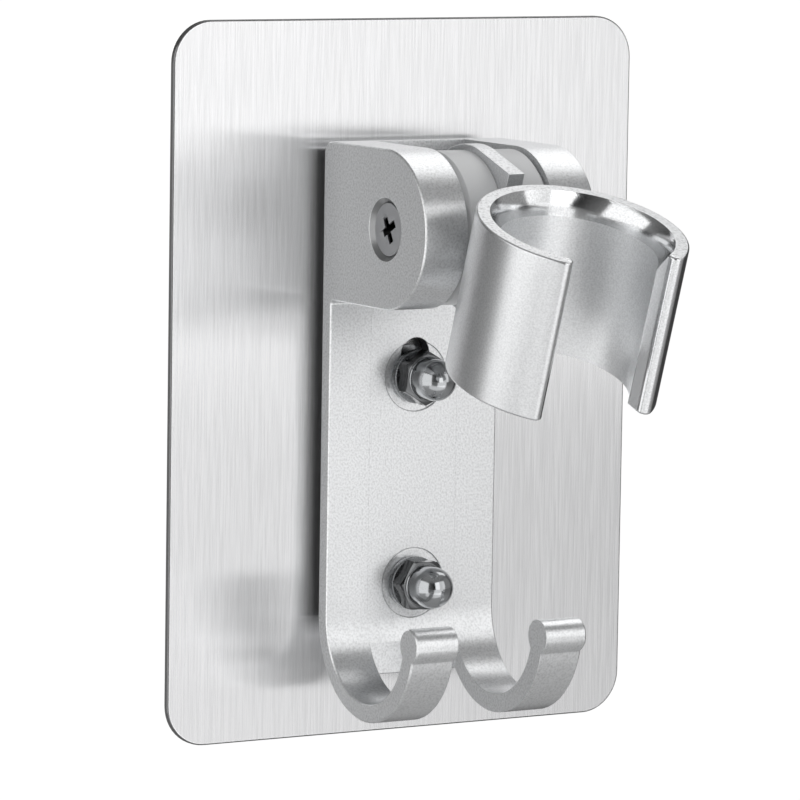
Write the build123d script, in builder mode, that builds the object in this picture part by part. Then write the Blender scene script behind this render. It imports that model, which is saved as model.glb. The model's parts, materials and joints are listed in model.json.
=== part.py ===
from build123d import *
from math import cos, radians, sin
import os

os.makedirs("parts", exist_ok=True)

# Wall-mounted hand shower holder, in millimetres.
# The origin is the middle of the wall face, +Z is up, and the object stands out from the wall along -Y.
# A depth is a distance from the wall.

# Back plate and adhesive pad
plate_width = 88.0
plate_height = 120.0
plate_thickness = 1.2
plate_corner = 7.0
plate_edge_chamfer = 0.25
pad_thickness = 0.4
pad_inset = 1.0

# Studs, washers and cap nuts
stud_dia = 5.0
stud_x = -0.73
stud_upper_z = 0.6
stud_spacing = 34.8
stud_collar_dia = 10.0
stud_collar_height = 2.8
stud_engagement = 5.0
stud_end_gap = 0.5
thread_clearance = 0.05
washer_dia = 9.0
washer_thickness = 1.4
washer_clearance = 0.15
spot_face_dia = 11.8
spot_face_depth = 0.4
nut_across_flats = 8.0
nut_hex_height = 3.0
nut_dome_dia = 7.0
nut_collar_length = 2.4

# Bracket
bracket_x = -1.13
bracket_width = 32.3
sheet_thickness = 2.8
slot_floor_land = 1.0
stud_hole_clearance = 0.2
stud_slot_rise = 3.8
ear_radius = 13.1
pivot_standoff = 20.3
pivot_rise = 26.4
knuckle_top_round = 2.2
knuckle_root_round = 0.8
bracket_edge_chamfer = 0.25
hook_inner_radius = 12.7
hook_outer_radius = 15.75
hook_drop = 4.65
bead_dia = 5.7
bead_overhang = 0.05
bead_drop = 1.15
bead_root_round = 0.6

# Pivot: screw, bushes and friction washer
screw_dia = 5.0
screw_head_dia = 9.2
screw_head_recess = 0.6
screw_end_recess = 0.5
screw_hole_clearance = 0.2
screw_seat_clearance = 0.05
cross_span = 5.0
cross_wing = 1.3
cross_depth = 1.9
cross_turn = 20.0
bush_dia = 25.2
bush_length = 6.5
bush_chamfer = 0.8
friction_washer_dia = 24.0
friction_washer_thickness = 0.6
running_clearance = 0.08

# Cup
cup_tilt = 18.9
cup_bore = 25.6
cup_wall = 4.4
cup_height = 27.2
cup_rim_width = 2.25
cup_taper_depth = 3.7
cup_opening = 18.0
cup_tip_round = 1.3
cup_foot_chamfer = 0.4
cup_rim_chamfer = 0.3
cup_swing_gap = 1.0
tongue_thickness = 3.0
tongue_side_clearance = 0.05
tongue_relief_gap = 4.2
tongue_relief_depth = 6.0

# Depths from the wall
plate_front = pad_thickness + plate_thickness
sheet_back = plate_front + stud_collar_height
sheet_front = sheet_back + sheet_thickness
slot_floor = sheet_front + slot_floor_land
spot_face = sheet_front - spot_face_depth
nut_seat = spot_face + washer_thickness
pivot_depth = sheet_back + pivot_standoff

# Places of the studs and heights of the pivot and the knuckle
stud_lower_z = stud_upper_z - stud_spacing
stud_places = [(stud_x, stud_upper_z), (stud_x, stud_lower_z)]
pivot_z = stud_upper_z + pivot_rise
knuckle_top = pivot_z + ear_radius
knuckle_bottom = pivot_z - ear_radius

# Hook: the inner arc runs on from the sheet's front and the larger outer arc from its back,
# so the limb ends a little thicker than the sheet
hook_z = stud_lower_z - hook_drop
hook_inner_depth = sheet_front + hook_inner_radius
hook_outer_depth = sheet_back + hook_outer_radius
limb_inner = hook_inner_depth + hook_inner_radius
limb_outer = hook_outer_depth + hook_outer_radius
limb_depth = (limb_inner + limb_outer) / 2
bead_depth = limb_depth + bead_overhang
bead_z = hook_z - bead_drop

# Sides of the bracket, which sits slightly left of the plate's middle
bracket_left = bracket_x - bracket_width / 2
bracket_right = bracket_x + bracket_width / 2

# Widths across the knuckle: washer, bush, tongue and bush fill the slot between the ears
slot_width = friction_washer_thickness + 2 * (bush_length + tongue_side_clearance) + tongue_thickness
slot_left = bracket_x - slot_width / 2
left_bush_x = slot_left + friction_washer_thickness
tongue_left = left_bush_x + bush_length + tongue_side_clearance
tongue_x = tongue_left + tongue_thickness / 2
right_bush_x = tongue_left + tongue_thickness + tongue_side_clearance

# Radii
stud_radius = stud_dia / 2
stud_hole_radius = stud_radius + stud_hole_clearance
screw_radius = screw_dia / 2
screw_hole_radius = screw_radius + screw_hole_clearance
screw_head_radius = screw_head_dia / 2
cup_bore_radius = cup_bore / 2
cup_outer_radius = cup_bore_radius + cup_wall
cup_mouth_radius = cup_outer_radius - cup_rim_width
cup_reach = ear_radius + cup_swing_gap + cup_outer_radius

# Planes: the wall, the bracket's side profile, and the cup's tilted middle and end
wall = Plane.XZ
side = Plane(origin=(bracket_x, 0, 0), x_dir=(0, -1, 0), z_dir=(-1, 0, 0))
tilt_out = (0, -cos(radians(cup_tilt)), -sin(radians(cup_tilt)))
tilt_up = (0, -sin(radians(cup_tilt)), cos(radians(cup_tilt)))
cup_middle = Plane(origin=(tongue_x, -pivot_depth, pivot_z), x_dir=tilt_out, z_dir=(-1, 0, 0))
cup_axis = Axis(cup_middle.from_local_coords((cup_reach, 0, 0)), tilt_up)
cup_end = Plane(
    origin=cup_middle.from_local_coords((cup_reach, -cup_height / 2, 0)), x_dir=(1, 0, 0), z_dir=tilt_up
)
pivot_axis = Axis((0, -pivot_depth, pivot_z), (1, 0, 0))
pivot_section = Plane(origin=(0, -pivot_depth, pivot_z), x_dir=(1, 0, 0), z_dir=(0, -1, 0))

# Adhesive pad: a thin sheet on the wall, just inside the plate's outline
with BuildPart() as adhesive_pad:
    with BuildSketch(wall):
        RectangleRounded(plate_width - 2 * pad_inset, plate_height - 2 * pad_inset, plate_corner - pad_inset)
    extrude(amount=pad_thickness)
adhesive_pad.part.label = "adhesive_pad"
export_step(adhesive_pad.part, "parts/adhesive_pad.step")

# Back plate: stainless sheet with round corners and a broken front edge
with BuildPart() as back_plate:
    with BuildSketch(wall.offset(pad_thickness)):
        RectangleRounded(plate_width, plate_height, plate_corner)
    extrude(amount=plate_thickness)
    chamfer(back_plate.faces().sort_by(Axis.Y)[0].edges(), length=plate_edge_chamfer)
back_plate.part.label = "back_plate"
export_step(back_plate.part, "parts/back_plate.step")

# Studs: threaded pins welded to the plate, with collars at their feet that hold the bracket clear of it
stud_length = nut_seat + stud_engagement - sheet_back
with BuildPart() as plate_studs:
    with BuildSketch(wall.offset(plate_front)):
        with Locations(stud_places):
            Circle(stud_collar_dia / 2)
    extrude(amount=stud_collar_height)
    with BuildSketch(wall.offset(sheet_back)):
        with Locations(stud_places):
            Circle(stud_radius)
    extrude(amount=stud_length)
plate_studs.part.label = "plate_studs"
export_step(plate_studs.part, "parts/plate_studs.step")

# Bracket: one extruded profile of knuckle, sheet and hook
with BuildPart() as bracket:
    with BuildSketch(side) as bracket_profile:
        with BuildLine():
            Line((sheet_back, hook_z), (sheet_back, knuckle_top))
            Line((sheet_back, knuckle_top), (pivot_depth, knuckle_top))
            CenterArc((pivot_depth, pivot_z), ear_radius, 90, -180)
            Line((pivot_depth, knuckle_bottom), (sheet_front, knuckle_bottom))
            Line((sheet_front, knuckle_bottom), (sheet_front, hook_z))
            CenterArc((hook_inner_depth, hook_z), hook_inner_radius, 180, 180)
            Line((limb_inner, hook_z), (limb_outer, hook_z))
            CenterArc((hook_outer_depth, hook_z), hook_outer_radius, 0, -180)
        make_face()
        fillet(
            bracket_profile.vertices().sort_by_distance((sheet_back, knuckle_top))[0],
            radius=knuckle_top_round,
        )
        fillet(
            bracket_profile.vertices().sort_by_distance((sheet_front, knuckle_bottom))[0],
            radius=knuckle_root_round,
        )
        with Locations((bead_depth, bead_z)):
            Circle(bead_dia / 2)
        fillet(
            bracket_profile.vertices().sort_by_distance((limb_depth, bead_z - bead_dia / 2))[:2],
            radius=bead_root_round,
        )
    extrude(amount=bracket_width / 2, both=True)
    # The sawn ends of the extrusion have their edges broken
    chamfer(bracket.faces().filter_by(Plane.YZ).edges(), length=bracket_edge_chamfer)
    # One straight slot parts the knuckle into ears and the hook into two
    with BuildSketch(wall.offset(slot_floor)):
        with Locations((bracket_x, knuckle_top)):
            Rectangle(slot_width, 2 * (knuckle_top - hook_z + hook_outer_radius))
    extrude(amount=pivot_depth + ear_radius + bead_depth, mode=Mode.SUBTRACT)
    # Stud holes with spot faces, the upper one a slot that lets the bracket drop on its stud
    with Locations(wall.offset(sheet_front)):
        with Locations(stud_places):
            CounterBoreHole(stud_hole_radius, spot_face_dia / 2, spot_face_depth)
    with BuildSketch(wall.offset(sheet_back)):
        with Locations((stud_x, stud_upper_z + stud_slot_rise / 2)):
            SlotCenterToCenter(stud_slot_rise, 2 * stud_hole_radius, rotation=90)
    extrude(amount=sheet_thickness, mode=Mode.SUBTRACT)
    # Screw holes: countersunk in the left ear, tapped in the right
    with Locations(Plane(origin=(bracket_left, -pivot_depth, pivot_z), z_dir=(-1, 0, 0))):
        CounterSinkHole(
            screw_hole_radius,
            screw_head_radius + screw_head_recess + screw_seat_clearance,
            depth=bracket_width / 2,
            counter_sink_angle=90,
        )
    with Locations(Plane(origin=(bracket_right, -pivot_depth, pivot_z), z_dir=(1, 0, 0))):
        Hole(screw_radius + thread_clearance, depth=bracket_width / 2)
bracket.part.label = "bracket"
export_step(bracket.part, "parts/bracket.step")

# Washers: flat rings seated in the spot faces
with BuildPart() as stud_washers:
    with BuildSketch(wall.offset(spot_face)):
        with Locations(stud_places):
            Circle(washer_dia / 2)
            Circle(stud_radius + washer_clearance, mode=Mode.SUBTRACT)
    extrude(amount=washer_thickness)
stud_washers.part.label = "stud_washers"
export_step(stud_washers.part, "parts/stud_washers.step")

# Cap nuts: hexagon, round collar and dome over a blind thread
nut_corner_radius = nut_across_flats / 2 / cos(radians(30))
nut_collar_radius = nut_dome_dia / 2
nut_collar_end = nut_hex_height + nut_collar_length
with BuildPart() as cap_nuts:
    for x, z in stud_places:
        nut_plane = Plane(origin=(x, -nut_seat, z), x_dir=(1, 0, 0), z_dir=(0, -1, 0))
        nut_section = Plane(origin=(x, -nut_seat, z), x_dir=(1, 0, 0), z_dir=(0, 0, 1))
        nut_axis = Axis((x, -nut_seat, z), (0, -1, 0))
        with BuildSketch(nut_plane):
            RegularPolygon(nut_corner_radius, 6)
        extrude(amount=nut_hex_height)
        with BuildSketch(nut_section):
            with BuildLine():
                Line((0, -nut_hex_height), (nut_collar_radius, -nut_hex_height))
                Line((nut_collar_radius, -nut_hex_height), (nut_collar_radius, -nut_collar_end))
                CenterArc((0, -nut_collar_end), nut_collar_radius, 0, -90)
                Line((0, -nut_collar_end - nut_collar_radius), (0, -nut_hex_height))
            make_face()
        revolve(axis=nut_axis)
        with Locations(Plane(origin=(x, -nut_seat, z), z_dir=(0, 1, 0))):
            Hole(stud_radius + thread_clearance, depth=stud_engagement + stud_end_gap)
cap_nuts.part.label = "cap_nuts"
export_step(cap_nuts.part, "parts/cap_nuts.step")

# Cup: a C-ring with a tapered mouth, and a tongue whose round end turns on the screw
with BuildPart() as cup:
    with BuildSketch(cup_end) as ring_profile:
        Circle(cup_outer_radius)
        Circle(cup_bore_radius, mode=Mode.SUBTRACT)
        Rectangle(cup_opening, 2 * cup_outer_radius, align=(Align.CENTER, Align.MAX), mode=Mode.SUBTRACT)
        fillet(ring_profile.vertices().group_by(Axis.Y)[0], radius=cup_tip_round)
    extrude(amount=cup_height)
    chamfer(cup.faces().sort_by(cup_axis)[0].edges(), length=cup_foot_chamfer)
    chamfer(cup.faces().sort_by(cup_axis)[-1].edges(), length=cup_rim_chamfer)
    # The mouth is turned to a taper
    with BuildSketch(cup_middle):
        with BuildLine():
            Polyline(
                (cup_reach, cup_height / 2 - cup_taper_depth),
                (cup_reach + cup_bore_radius, cup_height / 2 - cup_taper_depth),
                (cup_reach + cup_mouth_radius, cup_height / 2),
                (cup_reach, cup_height / 2),
                close=True,
            )
        make_face()
    revolve(axis=cup_axis, mode=Mode.SUBTRACT)
    # The tongue is as high as the ring, with its top cut away close to the ring
    with BuildSketch(cup_middle):
        with BuildLine():
            Polyline(
                (0, -cup_height / 2),
                (cup_reach - cup_bore_radius - cup_wall / 2, -cup_height / 2),
                (cup_reach - cup_bore_radius - cup_wall / 2, cup_height / 2 - tongue_relief_depth),
                (cup_reach - cup_outer_radius - tongue_relief_gap, cup_height / 2 - tongue_relief_depth),
                (cup_reach - cup_outer_radius - tongue_relief_gap, cup_height / 2),
                (0, cup_height / 2),
                close=True,
            )
        make_face()
        Circle(cup_height / 2)
        Circle(screw_radius + running_clearance, mode=Mode.SUBTRACT)
    extrude(amount=tongue_thickness / 2, both=True)
cup.part.label = "cup"
export_step(cup.part, "parts/cup.step")

# Bushes: plastic rings that fill the slot on both sides of the tongue, chamfered towards the ears
with BuildPart() as left_bush:
    with BuildSketch(Plane.YZ.offset(left_bush_x)):
        with Locations((-pivot_depth, pivot_z)):
            Circle(bush_dia / 2)
            Circle(screw_hole_radius, mode=Mode.SUBTRACT)
    extrude(amount=bush_length)
    chamfer(left_bush.faces().sort_by(Axis.X)[0].outer_wire().edges(), length=bush_chamfer)
left_bush.part.label = "left_bush"
export_step(left_bush.part, "parts/left_bush.step")

with BuildPart() as right_bush:
    with BuildSketch(Plane.YZ.offset(right_bush_x)):
        with Locations((-pivot_depth, pivot_z)):
            Circle(bush_dia / 2)
            Circle(screw_hole_radius, mode=Mode.SUBTRACT)
    extrude(amount=bush_length)
    chamfer(right_bush.faces().sort_by(Axis.X)[-1].outer_wire().edges(), length=bush_chamfer)
right_bush.part.label = "right_bush"
export_step(right_bush.part, "parts/right_bush.step")

# Friction washer: a thin ring between the left ear and its bush
with BuildPart() as friction_washer:
    with BuildSketch(Plane.YZ.offset(slot_left)):
        with Locations((-pivot_depth, pivot_z)):
            Circle(friction_washer_dia / 2)
            Circle(screw_hole_radius, mode=Mode.SUBTRACT)
    extrude(amount=friction_washer_thickness)
friction_washer.part.label = "friction_washer"
export_step(friction_washer.part, "parts/friction_washer.step")

# Pivot screw: countersunk head with a cross recess in the left ear, thread in the right ear
screw_head_x = bracket_left + screw_head_recess
screw_end_x = bracket_right - screw_end_recess
screw_head_height = screw_head_radius - screw_radius
with BuildPart() as pivot_screw:
    with BuildSketch(pivot_section):
        with BuildLine():
            Polyline(
                (screw_head_x, 0),
                (screw_head_x, screw_head_radius),
                (screw_head_x + screw_head_height, screw_radius),
                (screw_end_x, screw_radius),
                (screw_end_x, 0),
                close=True,
            )
        make_face()
    revolve(axis=pivot_axis)
    with BuildSketch(Plane(origin=(screw_head_x, -pivot_depth, pivot_z), x_dir=(0, 1, 0), z_dir=(1, 0, 0))):
        Rectangle(cross_span, cross_wing, rotation=cross_turn)
        Rectangle(cross_wing, cross_span, rotation=cross_turn)
    extrude(amount=cross_depth, mode=Mode.SUBTRACT)
pivot_screw.part.label = "pivot_screw"
export_step(pivot_screw.part, "parts/pivot_screw.step")
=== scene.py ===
"""Hand shower holder: finished pieces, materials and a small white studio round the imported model."""

import json
import math

import bmesh
import bpy
from mathutils import Matrix, Vector


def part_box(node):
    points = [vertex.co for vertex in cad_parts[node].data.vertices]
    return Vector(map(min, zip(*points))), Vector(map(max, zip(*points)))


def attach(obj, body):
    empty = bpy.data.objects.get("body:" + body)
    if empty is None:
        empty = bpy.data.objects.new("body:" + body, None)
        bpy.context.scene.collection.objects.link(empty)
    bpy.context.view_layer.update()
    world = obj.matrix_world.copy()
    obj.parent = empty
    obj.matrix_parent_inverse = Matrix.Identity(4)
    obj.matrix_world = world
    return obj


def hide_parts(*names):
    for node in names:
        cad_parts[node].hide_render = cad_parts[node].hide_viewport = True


bl_info = {
    "name": "Hand Shower Holder",
    "version": (1, 0, 0),
    "blender": (4, 5, 0),
    "location": "3D View > Sidebar > Shower Holder",
    "description": "Builds the finished pieces of a wall holder for a hand shower, and its studio",
    "category": "Object",
}

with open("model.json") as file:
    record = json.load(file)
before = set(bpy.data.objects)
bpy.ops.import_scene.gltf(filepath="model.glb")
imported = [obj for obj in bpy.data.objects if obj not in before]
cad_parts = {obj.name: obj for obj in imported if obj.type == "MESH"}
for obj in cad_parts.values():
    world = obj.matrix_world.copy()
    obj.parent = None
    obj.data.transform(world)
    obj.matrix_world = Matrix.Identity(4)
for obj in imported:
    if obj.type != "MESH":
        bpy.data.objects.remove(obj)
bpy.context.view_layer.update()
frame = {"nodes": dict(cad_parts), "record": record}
MM = 0.001

# The tilt screw's axis and the cup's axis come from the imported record
JOINT = frame["record"]["behaviour"]["joints"][0]
CUP_MOUNT = next(mount for mount in frame["record"]["mounts"] if mount["name"] == "handset_cup")
PIVOT = Vector(JOINT["pos_m"])
CUP_UP = Vector(CUP_MOUNT["axis"]).normalized()
CUP_OUT = CUP_UP.cross(Vector((1, 0, 0))).normalized()
if CUP_OUT.y > 0:
    CUP_OUT.negate()
CUP_REACH = (Vector(CUP_MOUNT["pos_m"]) - PIVOT).dot(CUP_OUT)
CUP_MIDDLE = PIVOT + CUP_OUT * CUP_REACH

# Edges that turn more than this stay sharp, and flatter ones shade round
SHARP_ANGLE = math.radians(32)
# A point this close to a face counts as lying on it, and on some faces one a few times further off
TOUCH = 0.02 * MM
# The angles of the points round a nut or a screw
CIRCLE_STEPS = 96
CIRCLE = [math.radians(360 * i / CIRCLE_STEPS) for i in range(CIRCLE_STEPS)]


def linear(hex_code):
    """Turn an sRGB hex colour into the linear colour that Blender's shaders use."""
    values = [int(hex_code[i:i + 2], 16) / 255 for i in (1, 3, 5)]
    return tuple(v / 12.92 if v <= 0.04045 else ((v + 0.055) / 1.055) ** 2.4 for v in values) + (1.0,)


def shade(tone, share):
    """A tone at a share of its own level."""
    return tuple(share * value for value in tone[:3]) + (1.0,)


WHITE = linear("#FFFFFF")
BLACK = shade(WHITE, 0.01)


def size(name, description, default_mm):
    """A length that a user may change, given in millimetres."""
    return bpy.props.FloatProperty(
        name=name, description=description, default=default_mm * MM, min=0.0, precision=5, unit="LENGTH",
        subtype="DISTANCE")


def colour(name, description, hex_code):
    """A surface colour that a user may change, given as sRGB hex."""
    return bpy.props.FloatVectorProperty(
        name=name, description=description, default=linear(hex_code), size=4, min=0.0, max=1.0,
        subtype="COLOR")


class HolderSizes(bpy.types.PropertyGroup):
    plate_corner: size("Plate corner", "Radius of the back plate's corners", 7.0)
    plate_edge: size("Plate edge", "Radius that the plate's front edge is rolled to", 0.36)
    grain_width: size("Grain width", "Width of one streak of the plate's brushed grain", 0.13)
    blast_grain: size("Blast grain", "Width of one dimple of the blasted aluminium", 0.36)
    hook_gap: size("Hook gap", "Distance between the two hooks", 16.7)
    stud_count: bpy.props.IntProperty(
        name="Studs", description="Number of studs that hold the bracket", default=2)
    stud_spacing: size("Stud spacing", "Distance from one stud to the next", 34.8)
    nut_turn: bpy.props.FloatProperty(
        name="Nut turn", description="Angle from one tightened nut to the next", default=math.radians(-28),
        subtype="ANGLE")
    washer_hole: size("Washer hole", "Diameter of the hole in the washers", 5.3)
    washer_edge: size("Washer edge", "Radius of the washers' edges", 0.15)
    nut_across_flats: size("Nut across flats", "Width of the cap nuts' hexagon", 8.0)
    nut_hex_height: size("Nut hexagon height", "Height of the cap nuts' hexagon", 3.0)
    nut_dome: size("Nut dome", "Diameter of the cap nuts' collar and dome", 7.0)
    nut_thread: size("Nut thread", "Diameter of the cap nuts' blind thread", 5.1)
    screw_shank: size("Screw shank", "Diameter of the pivot screw", 5.0)
    screw_head: size("Screw head", "Diameter of the pivot screw's countersunk head", 9.2)
    cross_span: size("Cross span", "Width of the cross recess at the face of the head", 5.0)
    cross_wing: size("Cross wing", "Thickness of one wing of the cross recess", 1.3)
    cross_depth: size("Cross depth", "Depth of the cross recess", 1.9)
    cup_bore: size("Cup bore", "Diameter of the cup's bore", 25.6)
    cup_wall: size("Cup wall", "Thickness of the cup's wall", 4.4)
    cup_height: size("Cup height", "Height of the cup along its axis", 27.2)
    cup_opening: size("Cup opening", "Width of the gap at the cup's front", 18.0)
    cup_rim: size("Cup rim", "Width of the flat rim round the cup's mouth", 2.25)
    cup_taper: size("Cup taper", "Depth of the turned taper in the cup's mouth", 3.7)
    cup_tip_round: size("Cup tip round", "Radius of the edges of the cup's two tips", 1.3)
    cup_foot_round: size("Cup foot round", "Radius of the cup's lower outer edge", 0.4)
    cup_rim_round: size("Cup rim round", "Radius of the rim's outer edge", 0.37)
    tongue_thickness: size("Tongue thickness", "Thickness of the tongue between the bushes", 3.0)
    tongue_bore: size("Tongue bore", "Diameter of the screw's hole in the tongue", 5.16)
    tongue_relief_gap: size(
        "Tongue relief gap", "Distance from the cup's wall to the step in the tongue's top", 4.2)
    tongue_relief_depth: size("Tongue relief depth", "Height of the step in the tongue's top", 6.0)


class HolderColours(bpy.types.PropertyGroup):
    stainless: colour("Stainless", "Brushed stainless steel of the back plate", "#F5F5F6")
    bracket: colour("Bracket", "Blasted and anodised aluminium of the bracket", "#EFF0F1")
    cup: colour("Cup", "Satin aluminium of the cup", "#E6E7E8")
    nut: colour("Nut", "Polished steel of the cap nuts", "#B6B8BA")
    steel: colour("Steel", "Drawn steel of the washers and studs", "#8E9092")
    screw: colour("Screw", "Zinc plated steel of the pivot screw", "#C2C3C5")
    bush: colour("Bush", "Moulded acetal of the bushes", "#D2D3D4")
    pad: colour("Pad", "Acrylic foam of the adhesive pad", "#E2E1DC")
    floor: colour("Floor", "Painted studio floor", "#C6C6C6")


def choices(context):
    """The sizes and the colours that a user has chosen."""
    return context.scene.holder_sizes, context.scene.holder_colours


# Nodes, meshes and pieces


def fill_inputs(tree, node, inputs):
    """Fill a node's inputs with values, or link them to sockets or to the first output in use of nodes."""
    for socket, value in inputs.items():
        if isinstance(value, bpy.types.Node):
            value = next(output for output in value.outputs if output.enabled)
        if isinstance(value, bpy.types.NodeSocket):
            tree.links.new(value, node.inputs[socket])
        else:
            node.inputs[socket].default_value = value


def add_node(tree, kind, inputs=None, **settings):
    """Add a node to a tree with its settings and links. A kind without its first word is a shader node.
    Sockets whose names repeat go by number: Map Range takes the range 1 to 2 over to 3 to 4, and Mix blends
    numbers 2 and 3, or colours 6 and 7, by factor 0."""
    first_word = "" if kind.startswith(("GeometryNode", "NodeGroup")) else "ShaderNode"
    node = tree.nodes.new(first_word + kind)
    for name, value in settings.items():
        setattr(node, name, value)
    fill_inputs(tree, node, inputs or {})
    return node


def add_object(name, data):
    """Put a mesh, a lamp or a camera into the scene."""
    obj = bpy.data.objects.new(name, data)
    bpy.context.scene.collection.objects.link(obj)
    return obj


def quarter(steps):
    """The angles of a quarter turn, cut into equal steps."""
    return [math.radians(90 * step / steps) for step in range(steps + 1)]


def close_skin(skin):
    """Merge doubles, point the faces outwards and return the skin as a mesh."""
    bmesh.ops.remove_doubles(skin, verts=skin.verts, dist=1e-7)
    bmesh.ops.recalc_face_normals(skin, faces=skin.faces)
    mesh = bpy.data.meshes.new("skin")
    skin.to_mesh(mesh)
    skin.free()
    return mesh


def loft(rings):
    """Skin rings of equal point counts in order, cap both ends, and return the closed mesh."""
    skin = bmesh.new()
    loops = [[skin.verts.new(point) for point in ring] for ring in rings]
    for lower, upper in zip(loops, loops[1:]):
        for i in range(len(lower)):
            j = (i + 1) % len(lower)
            skin.faces.new((lower[i], lower[j], upper[j], upper[i]))
    skin.faces.new(list(reversed(loops[0])))
    skin.faces.new(loops[-1])
    return close_skin(skin)


def evaluated_mesh(obj):
    """The plain mesh that an object's modifiers make, with the modifiers then taken off."""
    depsgraph = bpy.context.evaluated_depsgraph_get()
    mesh = bpy.data.meshes.new_from_object(obj.evaluated_get(depsgraph), depsgraph=depsgraph)
    obj.modifiers.clear()
    return mesh


def add_piece(name, mesh, material, body, nodes):
    """Make a mesh a finished piece: flats stay flat, round edges shade round, and it rides on its body and
    replaces its nodes."""
    mesh.materials.clear()
    mesh.materials.append(material)
    mesh.shade_smooth()
    mesh.set_sharp_from_angle(angle=SHARP_ANGLE)
    piece = add_object(name, mesh)
    piece.modifiers.new("Flats", "WEIGHTED_NORMAL").keep_sharp = True
    piece.data = evaluated_mesh(piece)
    piece.data.name = name
    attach(piece, body)
    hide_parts(*nodes)


def dress_node(name, material):
    """Give a CAD node that keeps its own mesh its finished material."""
    node = frame["nodes"][name]
    node.data.materials.clear()
    node.data.materials.append(material)


def combine(mesh, other, operation):
    """Join a second closed mesh to a mesh, or cut it out."""
    base = add_object("base", mesh)
    tool = add_object("tool", other)
    cut = base.modifiers.new("Combine", "BOOLEAN")
    cut.operation = operation
    cut.solver = "EXACT"
    cut.object = tool
    result = evaluated_mesh(base)
    bpy.data.objects.remove(base)
    bpy.data.objects.remove(tool)
    return result


def node_tree_mesh(tree, values):
    """Run a Geometry Nodes tree with its named inputs set by identifier, and return the plain mesh."""
    host = add_object("host", bpy.data.meshes.new("host"))
    modifier = host.modifiers.new("Nodes", "NODES")
    modifier.node_group = tree
    for item in tree.interface.items_tree:
        if item.item_type == "SOCKET" and item.in_out == "INPUT":
            modifier[item.identifier] = values[item.name]
    mesh = evaluated_mesh(host)
    bpy.data.objects.remove(host)
    return mesh


def stud_pattern(name, sockets):
    """Start a tree that sets one small part on every stud. Returns the tree, its inputs, and the node that
    the part goes into."""
    tree = bpy.data.node_groups.new(name, "GeometryNodeTree")
    common = {
        "Upper Stud": "Vector", "Spacing": "Float", "Studs": "Int", "Turn": "Float", "Material": "Material"}
    for socket, kind in (common | sockets).items():
        tree.interface.new_socket(socket, in_out="INPUT", socket_type="NodeSocket" + kind)
    tree.interface.new_socket("Geometry", in_out="OUTPUT", socket_type="NodeSocketGeometry")
    given = add_node(tree, "NodeGroupInput").outputs
    down = add_node(tree, "Math", {0: given["Spacing"], 1: -1.0}, operation="MULTIPLY")
    step = add_node(tree, "CombineXYZ", {"Z": down})
    row = add_node(tree, "GeometryNodeMeshLine", {
        "Count": given["Studs"], "Start Location": given["Upper Stud"], "Offset": step}, mode="OFFSET")
    # The part is drawn with its axis along Z, and is laid over so that the axis points out from the wall.
    # Each one down the row is turned a little further, as nuts stop where they are tight
    index = add_node(tree, "GeometryNodeInputIndex")
    turned = add_node(tree, "Math", {
        0: index, 1: given["Turn"], 2: given["Turn"]}, operation="MULTIPLY_ADD")
    lie = add_node(tree, "CombineXYZ", {"X": math.pi / 2, "Y": turned})
    place = add_node(tree, "GeometryNodeInstanceOnPoints", {"Points": row, "Rotation": lie})
    real = add_node(tree, "GeometryNodeRealizeInstances", {"Geometry": place})
    finish = add_node(tree, "GeometryNodeSetMaterial", {"Geometry": real, "Material": given["Material"]})
    add_node(tree, "NodeGroupOutput", {"Geometry": finish})
    return tree, given, place


# Materials


def start_material(name):
    """A new node material, with its shader and its object coordinates."""
    material = bpy.data.materials.new(name)
    material.use_nodes = True
    tree = material.node_tree
    coords = add_node(tree, "TexCoord").outputs["Object"]
    return material, tree, tree.nodes["Principled BSDF"], coords


def near_pivot(tree, coords, radius):
    """A mask that is 1 within a radius of the pivot screw's axis."""
    flat = add_node(tree, "VectorMath", {0: coords, 1: (0.0, 1.0, 1.0)}, operation="MULTIPLY")
    reach = add_node(tree, "VectorMath", {0: flat, 1: (0.0, PIVOT.y, PIVOT.z)}, operation="DISTANCE")
    return add_node(tree, "Math", {0: reach, 1: radius}, operation="LESS_THAN")


def brushed_stainless(tone, grain, front):
    """Stainless steel, belt brushed upright: long fine streaks that draw every reflection out sideways. The
    sheared and rolled edges and the back are painted dark as painted shade."""
    material, tree, shader, coords = start_material("brushed_stainless_steel")
    # Real belt scratches are about 0.05 mm wide and 10 mm long: they are drawn wider here, so that they show
    stretch = (1 / grain, 1 / grain, 1 / (80 * grain))
    fine = add_node(tree, "Mapping", {"Vector": coords, "Scale": stretch})
    streaks = add_node(tree, "TexNoise", {"Vector": fine, "Scale": 1.0, "Detail": 1.0})
    amount = add_node(tree, "MapRange", {"Value": streaks, 1: 0.35, 2: 0.65})
    tint = add_node(tree, "Mix", {0: amount, 6: shade(tone, 0.88), 7: tone}, data_type="RGBA")
    split = add_node(tree, "SeparateXYZ", {0: coords})
    # Everything behind the front face, the rolled edge, the sides and the back, is painted dark as painted
    # shade
    edge = add_node(tree, "Math", {0: split.outputs["Y"], 1: front + TOUCH}, operation="GREATER_THAN")
    tint = add_node(tree, "Mix", {0: edge, 6: tint, 7: shade(tone, 0.25)}, data_type="RGBA")
    rough = add_node(tree, "MapRange", {"Value": streaks, 1: 0.35, 2: 0.65, 3: 0.245, 4: 0.26})
    bump = add_node(tree, "Bump", {"Height": streaks, "Strength": 0.05, "Distance": 0.02 * MM})
    tangent = add_node(tree, "Tangent", direction_type="UV_MAP", uv_map="grain")
    fill_inputs(tree, shader, {
        "Base Color": tint, "Roughness": rough, "Normal": bump, "Tangent": tangent, "Metallic": 1.0,
        "Anisotropic": 0.97})
    return material


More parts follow.
